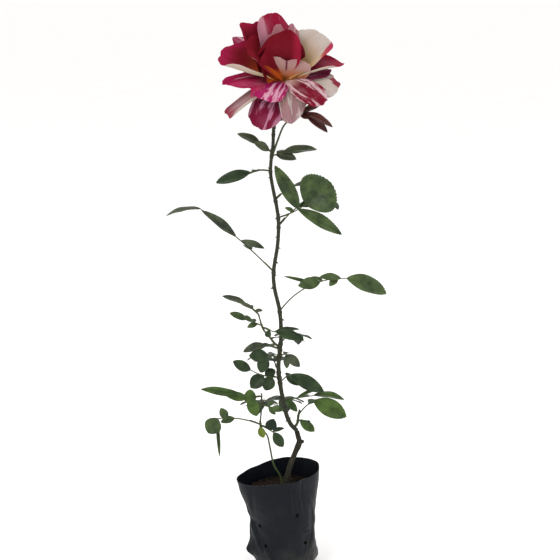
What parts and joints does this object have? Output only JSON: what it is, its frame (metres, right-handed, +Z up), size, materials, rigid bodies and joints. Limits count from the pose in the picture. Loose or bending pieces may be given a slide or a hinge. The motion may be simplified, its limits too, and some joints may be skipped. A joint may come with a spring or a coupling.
{
  "type": "potted rose bush",
  "caption": "Young rose bush with one large striped bloom on a tall thin cane, growing in a black film nursery bag filled with compost.",
  "frame": {"origin": "middle of the flat underside of the bag, on the surface it stands on", "axes": "+Z up along the cane; -Y the side the flower faces; +X to the right as the flower is looked at"},
  "size_m": [0.2198, 0.1088, 0.572],
  "materials": {
    "bag_film": "black polythene film, creased, half gloss",
    "compost": "dark crumbly damp compost, matt",
    "old_bark": "brown ridged bark, matt",
    "green_bark": "dark green cane with prickles, satin",
    "leaves": "deep green toothed leaflets, soft gloss",
    "young_leaves": "maroon young leaflets, soft gloss",
    "petals": "velvety crimson petals striped and edged with cream, orange at the foot"
  },
  "bodies": {
    "root": {"grow_bag": "bag_film", "potting_soil": "compost", "stem_foot": "old_bark", "main_cane": "green_bark", "thin_shoot": "green_bark", "middle_side_shoot": "green_bark", "right_spur_shoot": "green_bark", "flower_side_shoot": "green_bark", "leaf_top_bronze": "young_leaves", "leaf_top_left": "leaves", "leaf_top_right": "leaves", "leaf_top_back": "leaves", "leaf_upper_left": "leaves", "leaf_upper_right": "leaves", "leaf_upper_back": "leaves", "leaf_long_left": "leaves", "leaf_long_right": "leaves", "leaf_long_back": "leaves", "leaf_shoot_tip": "leaves", "leaf_shoot_left": "leaves", "leaf_shoot_right": "leaves", "leaf_middle_left_high": "leaves", "leaf_middle_left": "leaves", "leaf_middle_left_low": "leaves", "leaf_middle_right_high": "leaves", "leaf_middle_right": "leaves", "leaf_middle_back": "leaves", "leaf_middle_back_low": "leaves", "leaf_thin_left_high": "leaves", "leaf_thin_right": "leaves", "leaf_thin_back": "leaves", "leaf_thin_left_low": "leaves", "leaf_thin_front": "leaves", "leaf_thin_small": "leaves", "leaf_low_right": "leaves", "leaf_low_back": "leaves", "leaf_spur_right": "leaves", "leaf_spur_front": "leaves", "rose_bloom": "petals"}
  },
  "joints": []
}
